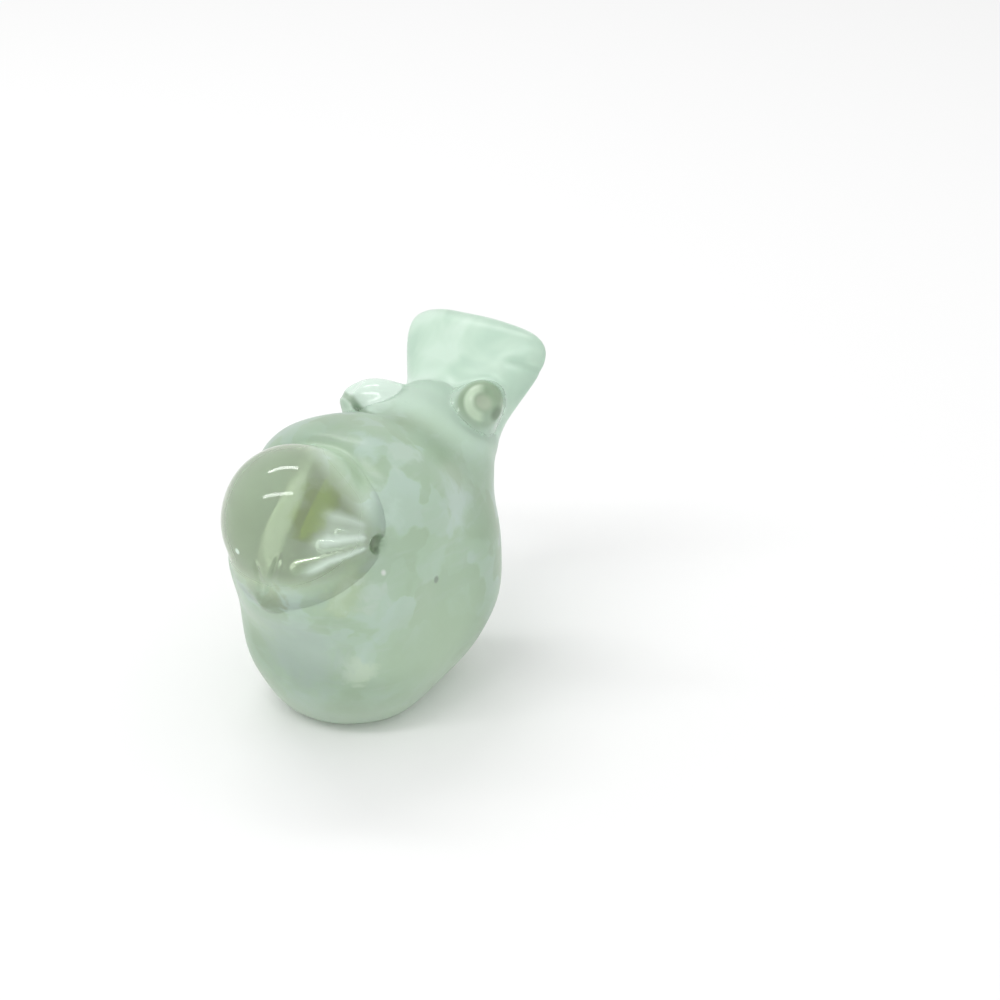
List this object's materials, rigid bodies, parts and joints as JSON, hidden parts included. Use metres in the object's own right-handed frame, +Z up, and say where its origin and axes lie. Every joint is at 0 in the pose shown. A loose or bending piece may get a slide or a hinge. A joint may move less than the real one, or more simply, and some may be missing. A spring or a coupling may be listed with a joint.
{
  "type": "glass bird paperweight",
  "caption": "Plump resting bird in solid pale green glass with a ball head, a small beak, a cocked fan tail and pinched wing tips, on a flat ground base.",
  "frame": {"origin": "on the flat ground base, under the middle of the whole bird", "axes": "+Z up, the bird faces -Y with its beak, and its left side is +X"},
  "size_m": [0.0472, 0.0763, 0.0642],
  "materials": {
    "clear_glass": "fire polished, milky pale green, glossy and clearest in the head",
    "pale_glass": "satin, very pale green",
    "olive_glass": "olive colour inside the glass",
    "dark_glass": "glossy dark grey green bead"
  },
  "bodies": {
    "root": {"body": "clear_glass", "head": "clear_glass", "beak": "clear_glass", "tail": "pale_glass", "left_wing_tip": "clear_glass", "right_wing_tip": "clear_glass", "left_eye": "dark_glass", "right_eye": "dark_glass", "pale_vein": "pale_glass", "olive_vein": "olive_glass"}
  },
  "joints": []
}
